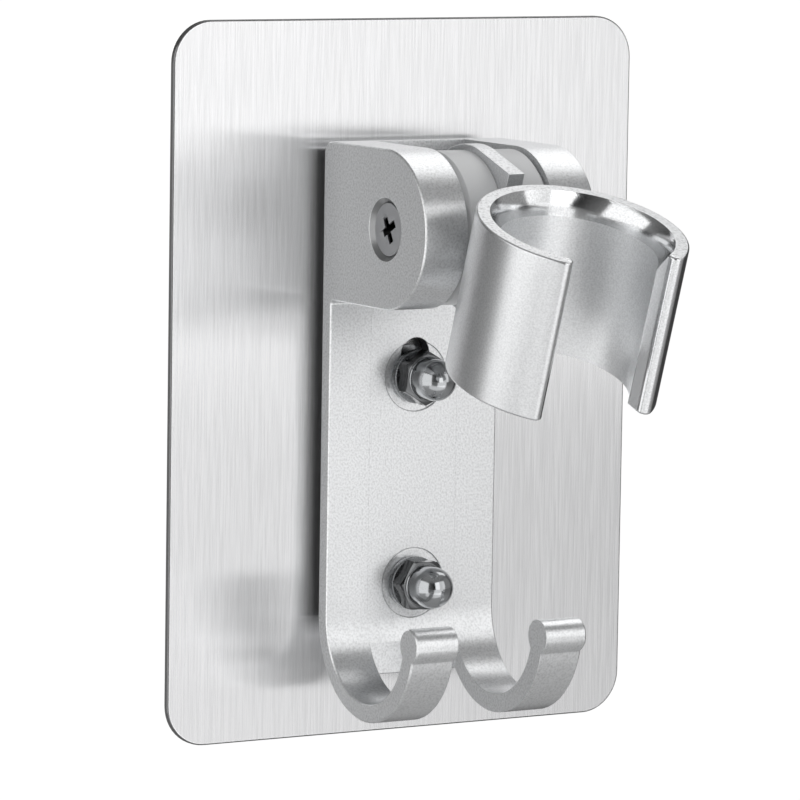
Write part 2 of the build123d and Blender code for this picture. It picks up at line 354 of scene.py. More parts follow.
def blasted_aluminium(tone, grain, cuts):
    """Aluminium, extruded, glass blasted and clear anodised: pale and soft, with a fine sparkle of dimples.
    The sawn sides are matt and painted a little darker as painted shade, and the back and the countersink
    are painted dark as painted shade."""
    material, tree, shader, coords = start_material("blasted_anodised_aluminium")
    split = add_node(tree, "SeparateXYZ", {0: coords})
    x, y = split.outputs["X"], split.outputs["Y"]
    across = add_node(tree, "Math", {0: x, 1: cuts["middle"]}, operation="SUBTRACT")
    across = add_node(tree, "Math", {0: across}, operation="ABSOLUTE")
    outer, inner = [add_node(tree, "Math", {0: across, 1: cuts[face], 2: TOUCH}, operation="COMPARE")
                    for face in ("half_width", "half_slot")]
    side = add_node(tree, "Math", {0: outer, 1: inner}, operation="MAXIMUM")
    rear = add_node(tree, "Math", {0: y, 1: cuts["rear"], 2: 2.5 * TOUCH}, operation="COMPARE")
    # Only the left ear is countersunk
    left = add_node(tree, "Math", {0: x, 1: cuts["middle"]}, operation="LESS_THAN")
    near = near_pivot(tree, coords, cuts["countersink"])
    sunk = add_node(tree, "Math", {0: near, 1: left}, operation="MULTIPLY")
    # Real blast dimples are about 0.05 mm wide: they are drawn coarser here, so that the sparkle shows
    dimples = add_node(tree, "TexNoise", {"Vector": coords, "Scale": 1 / grain, "Detail": 2.0})
    cloud = add_node(tree, "TexNoise", {"Vector": coords, "Scale": 1 / (8 * MM), "Detail": 2.0})
    amount = add_node(tree, "MapRange", {"Value": dimples, 1: 0.3, 2: 0.6})
    # The sawn sides are matt, and their tone is multiplied down to this share as painted shade
    sawn = shade(WHITE, 0.83)
    tint = add_node(tree, "Mix", {0: amount, 6: shade(tone, 0.78), 7: tone}, data_type="RGBA")
    # The back face, against the plate, is painted dark as painted shade
    tint = add_node(tree, "Mix", {0: rear, 6: tint, 7: shade(tone, 0.2)}, data_type="RGBA")
    tint = add_node(tree, "Mix", {0: side, 6: tint, 7: sawn}, data_type="RGBA", blend_type="MULTIPLY")
    # The countersink round the screw's head is painted dark as painted shade
    tint = add_node(tree, "Mix", {0: sunk, 6: tint, 7: shade(tone, 0.36)}, data_type="RGBA")
    rough = add_node(tree, "MapRange", {"Value": cloud, 1: 0.3, 2: 0.7, 3: 0.29, 4: 0.34})
    rough = add_node(tree, "Mix", {0: side, 2: rough, 3: 0.75}, data_type="FLOAT")
    # Tumbling breaks the sharp edges, so that each one catches a thin line of light
    edges = add_node(tree, "Bevel", {"Radius": 0.2 * MM}, samples=6)
    bump = add_node(tree, "Bump", {
        "Height": dimples, "Strength": 0.8, "Distance": 0.03 * MM, "Normal": edges})
    fill_inputs(tree, shader, {"Base Color": tint, "Roughness": rough, "Normal": bump, "Metallic": 1.0})
    return material


def satin_cup_aluminium(tone, grain, sizes):
    """Aluminium, extruded and finely blasted to a satin. The mouth's taper is turned bright and mirrors the
    room, the bore is painted a little paler as painted light, the milled tips shine more and the sawn ends
    glitter."""
    material, tree, shader, coords = start_material("satin_anodised_aluminium_turned_mouth")
    bore = sizes.cup_bore / 2
    mouth = bore + sizes.cup_wall - sizes.cup_rim
    top = sizes.cup_height / 2
    taper_foot = top - sizes.cup_taper
    # Height along the cup's axis and distance from it tell the taper and the bore from the rest
    middle = add_node(tree, "VectorMath", {0: coords, 1: CUP_MIDDLE}, operation="SUBTRACT")
    height = add_node(tree, "VectorMath", {0: middle, 1: CUP_UP}, operation="DOT_PRODUCT")
    along = add_node(tree, "VectorMath", {0: CUP_UP, "Scale": height}, operation="SCALE")
    across = add_node(tree, "VectorMath", {0: middle, 1: along}, operation="SUBTRACT")
    radius = add_node(tree, "VectorMath", {0: across}, operation="LENGTH")
    cone = add_node(tree, "MapRange", {"Value": height, 1: taper_foot, 2: top, 3: bore, 4: mouth})
    off = add_node(tree, "Math", {0: radius, 1: cone}, operation="SUBTRACT")
    off = add_node(tree, "Math", {0: off}, operation="ABSOLUTE")
    on_cone = add_node(tree, "Math", {0: off, 1: 3 * TOUCH}, operation="LESS_THAN")
    above = add_node(tree, "Math", {0: height, 1: taper_foot}, operation="GREATER_THAN")
    turned = add_node(tree, "Math", {0: on_cone, 1: above}, operation="MULTIPLY")
    within = add_node(tree, "Math", {0: radius, 1: bore + 2.5 * TOUCH}, operation="LESS_THAN")
    end = add_node(tree, "Math", {0: height}, operation="ABSOLUTE")
    sawn = add_node(tree, "Math", {0: end, 1: top - 1.5 * TOUCH}, operation="GREATER_THAN")
    # The milled tips lie at the front, close to the opening
    forward = add_node(tree, "VectorMath", {0: middle, 1: CUP_OUT}, operation="DOT_PRODUCT")
    front = add_node(tree, "Math", {0: forward, 1: 0.5 * bore}, operation="GREATER_THAN")
    split = add_node(tree, "SeparateXYZ", {0: middle})
    aside = add_node(tree, "Math", {0: split.outputs["X"]}, operation="ABSOLUTE")
    tip = sizes.cup_opening / 2 + 0.9 * sizes.cup_tip_round
    near = add_node(tree, "Math", {0: aside, 1: tip}, operation="LESS_THAN")
    milled = add_node(tree, "Math", {0: front, 1: near}, operation="MULTIPLY")
    # Real blast dimples are about 0.03 mm wide: they are drawn coarser here, so that the sparkle shows
    dimple = 0.8 * grain
    dimples = add_node(tree, "TexNoise", {"Vector": coords, "Scale": 1 / dimple, "Detail": 2.0})
    amount = add_node(tree, "MapRange", {"Value": dimples, 1: 0.3, 2: 0.66})
    # The bore is painted paler, as painted light
    bore_painted_light = shade(WHITE, 1.13)
    tint = add_node(tree, "Mix", {0: amount, 6: shade(tone, 0.82), 7: tone}, data_type="RGBA")
    tint = add_node(tree, "Mix", {0: within, 6: tint, 7: bore_painted_light}, data_type="RGBA", blend_type="MULTIPLY")
    # The turning tool leaves the taper brightest at the mouth
    dull_level, bright_level = top - 0.95 * sizes.cup_taper, top - 0.45 * sizes.cup_taper
    cut = add_node(tree, "MapRange", {"Value": height, 1: dull_level, 2: bright_level, 3: 0.2, 4: 0.13})
    rough = 0.3
    for mask, finish in ((turned, cut), (milled, 0.16), (within, 0.4)):
        rough = add_node(tree, "Mix", {0: mask, 2: rough, 3: finish}, data_type="FLOAT")
    # The sawn ends are torn more deeply than the blasted wall, and their pits are painted dark as painted
    # shade
    pit = 1.4 * grain
    pits = add_node(tree, "TexNoise", {"Vector": coords, "Scale": 1 / pit, "Detail": 3.0})
    painted_pit_shade = add_node(tree, "MapRange", {"Value": pits, 1: 0.36, 2: 0.5, 3: 0.45, 4: 0.0})
    painted_pit_shade = add_node(tree, "Math", {0: painted_pit_shade, 1: sawn}, operation="MULTIPLY")
    tint = add_node(tree, "Mix", {0: painted_pit_shade, 6: tint, 7: shade(tone, 0.35)}, data_type="RGBA")
    depth = add_node(tree, "MapRange", {"Value": sawn, 3: 0.02 * MM, 4: 0.12 * MM})
    bump = add_node(tree, "Bump", {"Height": dimples, "Strength": 0.3, "Distance": depth})
    fill_inputs(tree, shader, {"Base Color": tint, "Roughness": rough, "Normal": bump, "Metallic": 1.0})
    return material


def polished_steel(tone, hexagon):
    """Stainless steel, forged, turned and polished: a mirror dome with faint lathe rings and a thin haze of
    wipe marks, on a hexagon painted dark as painted shade."""
    material, tree, shader, coords = start_material("polished_stainless_steel")
    haze = add_node(tree, "TexNoise", {"Vector": coords, "Scale": 1 / (1.2 * MM), "Detail": 3.0})
    rough = add_node(tree, "MapRange", {"Value": haze, 1: 0.3, 2: 0.7, 3: 0.11, 4: 0.15})
    # Lathe rings sit about 0.1 mm apart along the nut's axis: they are drawn at 0.25 mm, so that they show
    along = add_node(tree, "Mapping", {"Vector": coords, "Scale": (0.0, 1 / (0.25 * MM), 0.0)})
    rings = add_node(tree, "TexNoise", {"Vector": along, "Scale": 1.0, "Detail": 1.0})
    bump = add_node(tree, "Bump", {"Height": rings, "Strength": 0.1, "Distance": 0.005 * MM})
    tint = add_node(tree, "Mix", {0: haze, 6: shade(tone, 0.9), 7: tone}, data_type="RGBA")
    # The hexagon, up to just past its face, is painted dark as painted shade
    split = add_node(tree, "SeparateXYZ", {0: coords})
    low = add_node(tree, "Math", {0: split.outputs["Y"], 1: hexagon}, operation="GREATER_THAN")
    tint = add_node(tree, "Mix", {0: low, 6: tint, 7: shade(tone, 0.3)}, data_type="RGBA")
    fill_inputs(tree, shader, {"Base Color": tint, "Roughness": rough, "Normal": bump, "Metallic": 1.0})
    return material


def drawn_steel(tone):
    """Plain steel, cold drawn and tumbled: a grey, half dull shine with small rubbed patches."""
    material, tree, shader, coords = start_material("drawn_tumbled_steel")
    patches = add_node(tree, "TexNoise", {"Vector": coords, "Scale": 1 / (0.7 * MM), "Detail": 4.0})
    rough = add_node(tree, "MapRange", {"Value": patches, 1: 0.3, 2: 0.7, 3: 0.2, 4: 0.36})
    bump = add_node(tree, "Bump", {"Height": patches, "Strength": 0.15, "Distance": 0.02 * MM})
    tint = add_node(tree, "Mix", {0: patches, 6: shade(tone, 0.8), 7: tone}, data_type="RGBA")
    fill_inputs(tree, shader, {"Base Color": tint, "Roughness": rough, "Normal": bump, "Metallic": 1.0})
    return material


def plated_screw_steel(tone, face, recess):
    """Steel, cold headed and zinc plated: an even mid grey with a soft shine, and a cross recess painted
    black as painted shade."""
    material, tree, shader, coords = start_material("headed_zinc_plated_steel")
    haze = add_node(tree, "TexNoise", {"Vector": coords, "Scale": 1 / (2.5 * MM), "Detail": 2.0})
    rough = add_node(tree, "MapRange", {"Value": haze, 1: 0.3, 2: 0.7, 3: 0.28, 4: 0.36})
    split = add_node(tree, "SeparateXYZ", {0: coords})
    below = face + 0.3 * MM
    sunk = add_node(tree, "Math", {0: split.outputs["X"], 1: below}, operation="GREATER_THAN")
    near = near_pivot(tree, coords, recess)
    # The cross recess below the head's face is painted black as painted shade
    painted_recess_shade = add_node(tree, "Math", {0: sunk, 1: near}, operation="MULTIPLY")
    tint = add_node(tree, "Mix", {0: haze, 6: shade(tone, 0.85), 7: tone}, data_type="RGBA")
    tint = add_node(tree, "Mix", {0: painted_recess_shade, 6: tint, 7: BLACK}, data_type="RGBA")
    fill_inputs(tree, shader, {"Base Color": tint, "Roughness": rough, "Metallic": 1.0})
    return material


def moulded_acetal(tone):
    """Acetal plastic, moulded in a smooth tool: an even light grey, a satin gloss and faint flow marks."""
    material, tree, shader, coords = start_material("moulded_grey_acetal")
    flow = add_node(tree, "TexNoise", {"Vector": coords, "Scale": 1 / (3 * MM), "Detail": 3.0})
    skin = add_node(tree, "TexNoise", {"Vector": coords, "Scale": 1 / (0.3 * MM), "Detail": 1.0})
    rough = add_node(tree, "MapRange", {"Value": flow, 1: 0.3, 2: 0.7, 3: 0.3, 4: 0.4})
    bump = add_node(tree, "Bump", {"Height": skin, "Strength": 0.06, "Distance": 0.02 * MM})
    tint = add_node(tree, "Mix", {0: flow, 6: shade(tone, 0.93), 7: tone}, data_type="RGBA")
    fill_inputs(tree, shader, {"Base Color": tint, "Roughness": rough, "Normal": bump, "IOR": 1.48})
    return material


def acrylic_foam(tone):
    """Acrylic foam tape, die cut: matt off-white with fine closed cells on the cut edge."""
    material, tree, shader, coords = start_material("die_cut_acrylic_foam")
    cells = add_node(tree, "TexVoronoi", {"Vector": coords, "Scale": 1 / (0.4 * MM)})
    cloud = add_node(tree, "TexNoise", {"Vector": coords, "Scale": 1 / (5 * MM), "Detail": 3.0})
    bump = add_node(tree, "Bump", {"Height": cells, "Strength": 0.3, "Distance": 0.05 * MM})
    tint = add_node(tree, "Mix", {0: cloud, 6: shade(tone, 0.9), 7: tone}, data_type="RGBA")
    fill_inputs(tree, shader, {"Base Color": tint, "Normal": bump, "Roughness": 0.85})
    return material


# Pieces


class HOLDER_OT_back_plate(bpy.types.Operator):
    """Build the brushed back plate with its round corners and rolled edge"""

    bl_idname = "holder.back_plate"
    bl_label = "Back plate"

    def execute(self, context):
        sizes, tones = choices(context)
        low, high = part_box("back_plate")
        half_width = (high.x - low.x) / 2
        half_height = (high.z - low.z) / 2
        edge = sizes.plate_edge
        corner_steps = 12

        def outline(inset):
            corner = sizes.plate_corner - inset
            points = []
            for turn, (sx, sz) in enumerate(((1, 1), (-1, 1), (-1, -1), (1, -1))):
                for step in range(corner_steps + 1):
                    angle = math.radians(90 * turn + 90 * step / corner_steps)
                    points.append((sx * (half_width - sizes.plate_corner) + corner * math.cos(angle),
                                   sz * (half_height - sizes.plate_corner) + corner * math.sin(angle)))
            return points

        # The rear edge is broken, and the front edge is rolled
        levels = [(high.y, 0.5 * edge), (high.y - 0.5 * edge, 0.0)]
        levels += [(low.y + edge - edge * math.sin(a), edge - edge * math.cos(a)) for a in quarter(5)]
        rings = [[Vector((x, depth, z)) for x, z in outline(inset)] for depth, inset in levels]
        mesh = loft(rings)
        # The grain map runs across the plate, so reflections are drawn out square to the upright streaks
        grain = mesh.uv_layers.new(name="grain")
        height = high.z - low.z
        for loop in mesh.loops:
            point = mesh.vertices[loop.vertex_index].co
            grain.data[loop.index].uv = ((point.x - low.x) / height, (point.z - low.z) / height)
        steel = brushed_stainless(tones.stainless, sizes.grain_width, low.y)
        add_piece("brushed_back_plate", mesh, steel, "base", ["back_plate"])
        return {"FINISHED"}


class HOLDER_OT_bracket(bpy.types.Operator):
    """Finish the extruded bracket in blasted aluminium"""

    bl_idname = "holder.bracket"
    bl_label = "Bracket"

    def execute(self, context):
        sizes, tones = choices(context)
        low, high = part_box("bracket")
        # The countersink is a little wider than the screw's head
        margin = 0.58 * MM
        cuts = {
            "middle": (low.x + high.x) / 2,
            "half_width": (high.x - low.x) / 2,
            "half_slot": sizes.hook_gap / 2,
            "rear": high.y,
            "countersink": sizes.screw_head / 2 + margin,
        }
        dress_node("bracket", blasted_aluminium(tones.bracket, sizes.blast_grain, cuts))
        return {"FINISHED"}


class HOLDER_OT_stud_washers(bpy.types.Operator):
    """Set a flat washer with rolled edges on every stud"""

    bl_idname = "holder.stud_washers"
    bl_label = "Stud washers"

    def execute(self, context):
        sizes, tones = choices(context)
        low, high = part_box("stud_washers")
        outer = (high.x - low.x) / 2
        hole = sizes.washer_hole / 2
        tree, given, place = stud_pattern("Stud Washers", {
            "Middle Radius": "Float", "Width": "Float", "Thickness": "Float", "Edge Radius": "Float"})
        path = add_node(tree, "GeometryNodeCurvePrimitiveCircle", {
            "Resolution": 72, "Radius": given["Middle Radius"]}, mode="RADIUS")
        section = add_node(tree, "GeometryNodeCurvePrimitiveQuadrilateral", {
            "Width": given["Width"], "Height": given["Thickness"]}, mode="RECTANGLE")
        rolled = add_node(tree, "GeometryNodeFilletCurve", {
            "Curve": section, "Radius": given["Edge Radius"], "Count": 4}, mode="POLY")
        ring = add_node(tree, "GeometryNodeCurveToMesh", {"Curve": path, "Profile Curve": rolled})
        fill_inputs(tree, place, {"Instance": ring})
        steel = drawn_steel(tones.steel)
        mesh = node_tree_mesh(tree, {
            "Upper Stud": ((low.x + high.x) / 2, (low.y + high.y) / 2, high.z - outer),
            "Spacing": sizes.stud_spacing, "Studs": sizes.stud_count, "Turn": 0.0, "Material": steel,
            "Middle Radius": (outer + hole) / 2, "Width": outer - hole, "Thickness": high.y - low.y,
            "Edge Radius": sizes.washer_edge})
        add_piece("steel_stud_washers", mesh, steel, "base", ["stud_washers"])
        return {"FINISHED"}


class HOLDER_OT_cap_nuts(bpy.types.Operator):
    """Set a polished cap nut on every stud"""

    bl_idname = "holder.cap_nuts"
    bl_label = "Cap nuts"

    def execute(self, context):
        sizes, tones = choices(context)
        low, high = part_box("cap_nuts")
        flat = sizes.nut_across_flats / 2
        hexagon, dome = sizes.nut_hex_height, sizes.nut_dome / 2
        total = high.y - low.y
        collar = total - dome
        thread = sizes.nut_thread / 2
        thread_runout = 0.5 * MM
        thread_depth = high.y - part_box("plate_studs")[0].y + thread_runout
        # Each corner of the hexagon is turned off to a cone of 30 degrees at both ends
        slope = math.tan(math.radians(30))
        seat_edge, face_edge = 0.985 * flat, 0.955 * flat
        # A small round leads from the hexagon's face up to the collar
        root = 0.25 * MM
        dome_steps, dome_tip = 24, 0.02 * MM

        def reach(angle):
            return flat / math.cos(angle % (math.pi / 3) - math.pi / 6)

        def circle(radius, height):
            return [Vector((radius * math.cos(a), radius * math.sin(a), height)) for a in CIRCLE]

        def corner_ring(start, height, direction):
            return [Vector((reach(a) * math.cos(a), reach(a) * math.sin(a),
                            height + direction * max(0.0, reach(a) - start) * slope)) for a in CIRCLE]

        rings = [circle(thread, thread_depth), circle(thread, 0.0), circle(seat_edge, 0.0),
                 corner_ring(seat_edge, 0.0, 1), corner_ring(face_edge, hexagon, -1),
                 circle(face_edge, hexagon)]
        for a in quarter(4):
            rings.append(circle(dome + root - root * math.sin(a), hexagon + root - root * math.cos(a)))
        for a in quarter(dome_steps)[:-1]:
            rings.append(circle(dome * math.cos(a), collar + dome * math.sin(a)))
        rings.append(circle(dome_tip, total))
        nut = add_object("nut", loft(rings))
        tree, given, place = stud_pattern("Cap Nuts", {"Nut": "Object"})
        shape = add_node(tree, "GeometryNodeObjectInfo", {"Object": given["Nut"], "As Instance": True})
        fill_inputs(tree, place, {"Instance": shape.outputs["Geometry"]})
        steel = polished_steel(tones.nut, high.y - 1.02 * hexagon)
        mesh = node_tree_mesh(tree, {
            "Upper Stud": ((low.x + high.x) / 2, high.y, (low.z + high.z + sizes.stud_spacing) / 2),
            "Spacing": sizes.stud_spacing, "Studs": sizes.stud_count, "Turn": sizes.nut_turn,
            "Material": steel, "Nut": nut})
        bpy.data.objects.remove(nut)
        add_piece("polished_cap_nuts", mesh, steel, "base", ["cap_nuts"])
        return {"FINISHED"}


class HOLDER_OT_pivot_screw(bpy.types.Operator):
    """Build the countersunk pivot screw with its tapered cross recess"""

    bl_idname = "holder.pivot_screw"
    bl_label = "Pivot screw"

    def execute(self, context):
        sizes, tones = choices(context)
        low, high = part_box("pivot_screw")
        head, shank = sizes.screw_head / 2, sizes.screw_shank / 2
        edge, point = 0.3 * MM, 0.6 * MM
        # The head's rim is rolled, so that a thin gap is left between it and the countersink
        profile = [
            (low.x, head - 1.5 * edge), (low.x + 0.15 * edge, head - edge),
            (low.x + 0.5 * edge, head - 0.75 * edge), (low.x + edge, head - edge),
            (low.x + head - shank, shank), (high.x - point, shank), (high.x, shank - point)]
        turn = Matrix.Rotation(math.radians(-28), 2)

        def circle(x, radius):
            return [Vector((x, PIVOT.y + radius * math.cos(a), PIVOT.z + radius * math.sin(a)))
                    for a in CIRCLE]

        def cross(x, span, wing):
            """A cross of four wings: one wing's three corners, turned on by a quarter three times."""
            arm, half = span / 2, wing / 2
            corners = [(arm, -half), (arm, half), (half, half)]
            for _ in range(3):
                corners += [(-v, u) for u, v in corners[-3:]]
            return [Vector((x, PIVOT.y + p.x, PIVOT.z + p.y)) for p in (turn @ Vector(c) for c in corners)]

        blank = loft([circle(x, radius) for x, radius in profile])
        # The recess starts in front of the head, so that the cut is clean, and narrows towards its floor
        span, wing, depth = sizes.cross_span, sizes.cross_wing, sizes.cross_depth
        recess = loft([
            cross(low.x - 0.3 * MM, span + 0.25 * MM, wing + 0.08 * MM),
            cross(low.x + 0.75 * depth, 0.5 * span, 0.75 * wing),
            cross(low.x + depth, 0.2 * span, 0.18 * span)])
        mesh = combine(blank, recess, "DIFFERENCE")
        steel = plated_screw_steel(tones.screw, low.x, 0.62 * span)
        add_piece("steel_pivot_screw", mesh, steel, "base", ["pivot_screw"])
        return {"FINISHED"}


class HOLDER_OT_bushes(bpy.types.Operator):
    """Finish the bushes and the friction washer in moulded plastic"""

    bl_idname = "holder.bushes"
    bl_label = "Bushes and friction washer"

    def execute(self, context):
        acetal = moulded_acetal(context.scene.holder_colours.bush)
        for name in ("left_bush", "right_bush", "friction_washer"):
            dress_node(name, acetal)
        return {"FINISHED"}


class HOLDER_OT_wall_fixing(bpy.types.Operator):
    """Finish the adhesive pad and the studs behind the bracket"""

    bl_idname = "holder.wall_fixing"
    bl_label = "Adhesive pad and studs"

    def execute(self, context):
        tones = context.scene.holder_colours
        dress_node("adhesive_pad", acrylic_foam(tones.pad))
        dress_node("plate_studs", drawn_steel(tones.steel))
        return {"FINISHED"}


def between(a, b, share):
    """The point at a share of the way from one flat point to another."""
    return (a[0] + (b[0] - a[0]) * share, a[1] + (b[1] - a[1]) * share)


def cut_at_radius(points, radius):
    """Follow points inwards until they come to a radius, and end there."""
    kept = [points[0]]
    for a, b in zip(points, points[1:]):
        far, near = math.hypot(*a), math.hypot(*b)
        if near <= radius:
            kept.append(between(a, b, (far - radius) / (far - near) if far > near else 0.0))
            break
        kept.append(b)
    return kept


def even_points(points, count):
    """Points at equal distances along a line of points, without its first one."""
    lengths = [0.0]
    for a, b in zip(points, points[1:]):
        lengths.append(lengths[-1] + math.hypot(b[0] - a[0], b[1] - a[1]))
    even = []
    for step in range(1, count + 1):
        want = lengths[-1] * step / count
        i = max(k for k in range(len(lengths) - 1) if lengths[k] <= want + 1e-12)
        span = lengths[i + 1] - lengths[i]
        even.append(between(points[i], points[i + 1], (want - lengths[i]) / span if span else 0.0))
    return even


class HOLDER_OT_cup(bpy.types.Operator):
    """Build the tilting cup: a C-shaped ring with a turned mouth, and its tongue"""

    bl_idname = "holder.cup"
    bl_label = "Cup"

    def execute(self, context):
        sizes, tones = choices(context)
        mesh = combine(self.ring_wall(sizes), self.tongue(sizes), "UNION")
        satin = satin_cup_aluminium(tones.cup, sizes.blast_grain, sizes)
        add_piece("satin_cup", mesh, satin, "cup", ["cup"])
        return {"FINISHED"}

    def ring_wall(self, sizes):
        """The C-shaped wall, lofted from its rounded foot up to its rounded rim."""
        bore = sizes.cup_bore / 2
        outer = bore + sizes.cup_wall
        mouth = outer - sizes.cup_rim
        top = sizes.cup_height / 2
        taper_foot = top - sizes.cup_taper
        wall_steps, front_steps, back_steps, flank_steps = 120, 9, 32, 12

        def tip(inset, inner):
            """One tip's edge from the outer wall to the inner one: round, flat, round, cut at a radius."""
            gap = sizes.cup_opening / 2 + inset
            bend = sizes.cup_tip_round - inset
            centre_x = gap + bend
            front = math.sqrt((outer - inset - bend) ** 2 - centre_x ** 2)
            back = math.sqrt((bore + bend) ** 2 - centre_x ** 2)
            start = math.atan2(front, centre_x)
            end = math.atan2(back, centre_x)
            points = []
            for step in range(front_steps + 1):
                angle = start + (math.pi - start) * step / front_steps
                points.append((centre_x + bend * math.cos(angle), front + bend * math.sin(angle)))
            flank = [points[-1]]
            for step in range(back_steps + 1):
                angle = math.pi + end * step / back_steps
                flank.append((centre_x + bend * math.cos(angle), back + bend * math.sin(angle)))
            return points + even_points(cut_at_radius(flank, inner), flank_steps)

        def arc(radius, corner):
            """The wall's arc from the right tip's corner round the back to the left one."""
            start = math.atan2(*corner)
            turn = 2 * math.pi - 2 * start
            angles = [start + turn * step / wall_steps for step in range(1, wall_steps)]
            return [(radius * math.sin(a), radius * math.cos(a)) for a in angles]

        def ring(up, inset):
            inner = bore + max(0.0, up - taper_foot) * (mouth - bore) / sizes.cup_taper
            right = tip(inset, inner)
            left = [(-x, out) for x, out in right]
            points = arc(outer - inset, right[0]) + left + arc(inner, right[-1])[::-1] + right[::-1]
            return [CUP_MIDDLE + Vector((x, 0, 0)) + CUP_OUT * out + CUP_UP * up for x, out in points]

        foot, rim = sizes.cup_foot_round, sizes.cup_rim_round
        levels = [(-top + foot - foot * math.cos(a), foot - foot * math.sin(a)) for a in quarter(4)]
        levels.append((taper_foot, 0.0))
        levels += [(top - rim + rim * math.sin(a), rim - rim * math.cos(a)) for a in quarter(4)]
        return loft([ring(up, inset) for up, inset in levels])

    def tongue(self, sizes):
        """The tongue, whose outline is round at the screw and stepped down close to the ring."""
        bore = sizes.cup_bore / 2
        outer = bore + sizes.cup_wall
        top = sizes.cup_height / 2
        step_out = CUP_REACH - outer - sizes.tongue_relief_gap
        end_out = CUP_REACH - bore - sizes.cup_wall / 2
        shoulder = top - sizes.tongue_relief_depth
        # The tongue ends just above the ring's foot, so that their lower faces don't share a plane
        low_edge = -top + TOUCH
        round_steps = 48
        angles = [math.pi / 2 + math.pi * step / round_steps for step in range(round_steps + 1)]
        outline = [(top * math.cos(a), max(low_edge, top * math.sin(a))) for a in angles]
        outline += [(end_out, low_edge), (end_out, shoulder), (step_out, shoulder), (step_out, top)]
        half = sizes.tongue_thickness / 2
        skin = bmesh.new()

        def corner(x, out, up, share=1.0):
            return skin.verts.new(PIVOT + Vector((x, 0, 0)) + CUP_OUT * out * share + CUP_UP * up * share)

        # Each side is a band of faces between the outline and the screw's hole
        sides = []
        for x in (-half, half):
            border = [corner(x, out, up) for out, up in outline]
            hole = [corner(x, out, up, sizes.tongue_bore / 2 / math.hypot(out, up)) for out, up in outline]
            sides.append((border, hole))
        for i in range(len(outline)):
            j = (i + 1) % len(outline)
            for border, hole in sides:
                skin.faces.new((border[i], border[j], hole[j], hole[i]))
            for a, b in zip(*sides):
                skin.faces.new((a[i], a[j], b[j], b[i]))
        bmesh.ops.recalc_face_normals(skin, faces=skin.faces)
        # The outline's square edges are broken, and the hole's edges stay sharp
        square, broken = 1.0, 0.15 * MM
        borders = {vert for border, _ in sides for vert in border}
        rims = [edge for edge in skin.edges
                if edge.calc_face_angle(0) > square and borders.issuperset(edge.verts)]
        bmesh.ops.bevel(skin, geom=rims, offset=broken, segments=2, profile=0.5, affect="EDGES")
        return close_skin(skin)


# Studio


def toward(azimuth, elevation):
    """The direction at an azimuth, counted from straight ahead of the plate to its right, and an elevation,
    both in degrees."""
    a, e = math.radians(azimuth), math.radians(elevation)
    return Vector((math.sin(a) * math.cos(e), -math.cos(a) * math.cos(e), math.sin(e)))


# The middle of the white backdrop behind the object, as metal sees it, and how its edge fades out
BACKDROP = toward(180, -3)
BACKDROP_EDGE = (0.9, 0.95)
# The soft boxes stand left and right of the camera, with a dark gap between them where the camera is.
# Each has its name, azimuth, elevation, distance, width, height and level, where a level of 1 is white
SOFT_BOXES = (
    ("left_soft_box", -80, 1, 0.9, 1.04, 1.2, 1.15),
    ("right_soft_box", 17, 14, 0.75, 0.8, 0.56, 0.98),
    ("front_soft_box", 1, 14, 0.76, 0.33, 0.56, 0.8),
    ("right_fill_box", 7, -19, 0.75, 0.68, 0.33, 0.97),
    ("rear_soft_box", 118, 52, 0.9, 0.75, 0.55, 1.15),
    ("floor_card", -18, -39, 0.46, 0.76, 0.2, 0.58),
)
# The point that every soft box faces
AIM = Vector((0, -0.03, 0))


def add_soft_box(name, place, width, height, level):
    """A flat soft box that faces the object and glows evenly, and that the camera doesn't see."""
    lamp = bpy.data.lights.new(name, "AREA")
    lamp.shape = "RECTANGLE"
    lamp.size, lamp.size_y = width, height
    lamp.energy = level * math.pi * width * height
    box = add_object(name, lamp)
    box.location = place
    box.rotation_euler = (AIM - place).to_track_quat("-Z", "Y").to_euler()
    box.visible_camera = False


def mirror_rays(tree, path):
    """A mask that is 1 for the rays by which metal and glass see their surroundings."""
    return add_node(tree, "Math", {
        0: path.outputs["Is Glossy Ray"], 1: path.outputs["Is Transmission Ray"]}, operation="MAXIMUM")


